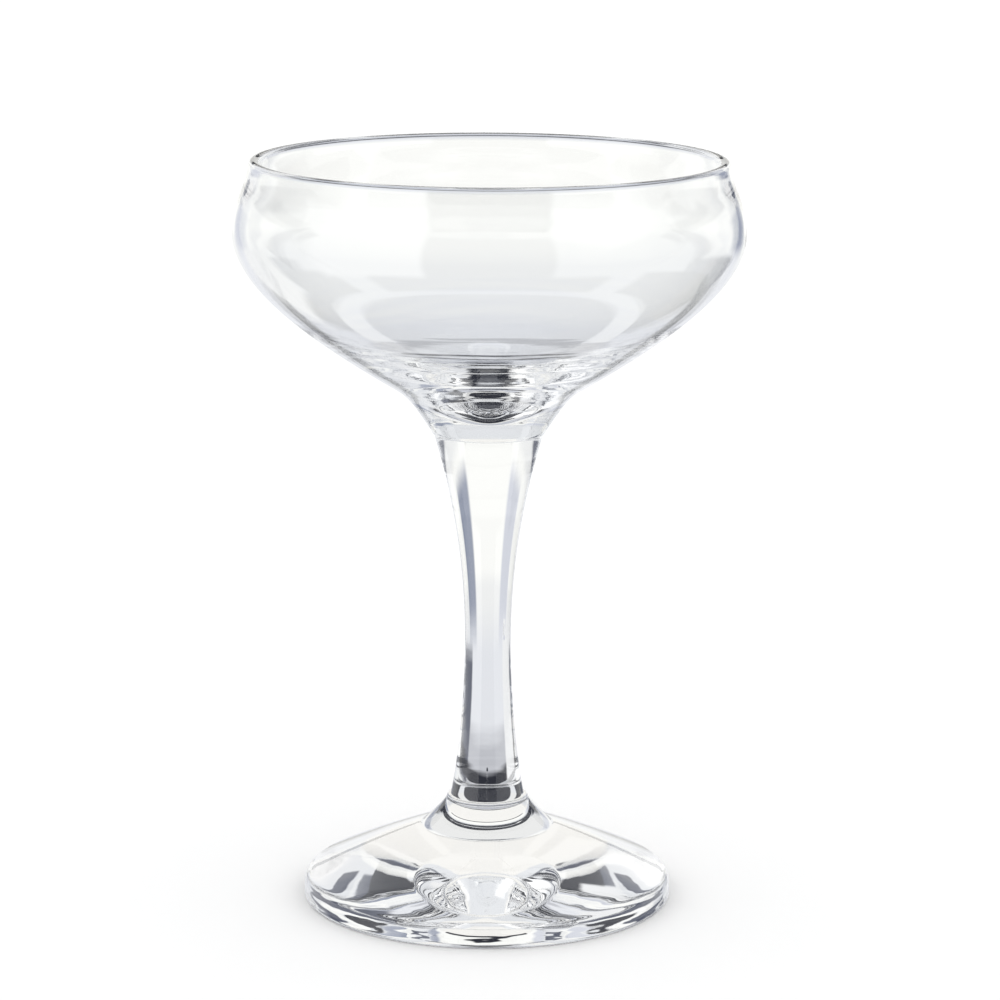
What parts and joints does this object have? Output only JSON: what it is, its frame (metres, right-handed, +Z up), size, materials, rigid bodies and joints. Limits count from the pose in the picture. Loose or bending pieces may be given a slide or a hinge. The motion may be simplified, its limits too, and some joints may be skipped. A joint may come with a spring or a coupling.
{
  "type": "coupe glass",
  "caption": "Wide shallow stemmed drinking glass: round bowl with an inward-curving rim, waisted solid stem and low conical foot that stands on a flat ring.",
  "frame": {"origin": "centre of the ring that the foot rests on, on the surface it stands on", "axes": "+Z up along the axis of the stem and the bowl; the glass is round, so X and Y are free"},
  "size_m": [0.1046, 0.1046, 0.155],
  "materials": {
    "clear_glass": "fire-polished clear soda-lime glass"
  },
  "bodies": {
    "root": {"bowl": "clear_glass", "stem": "clear_glass", "foot": "clear_glass"}
  },
  "joints": []
}
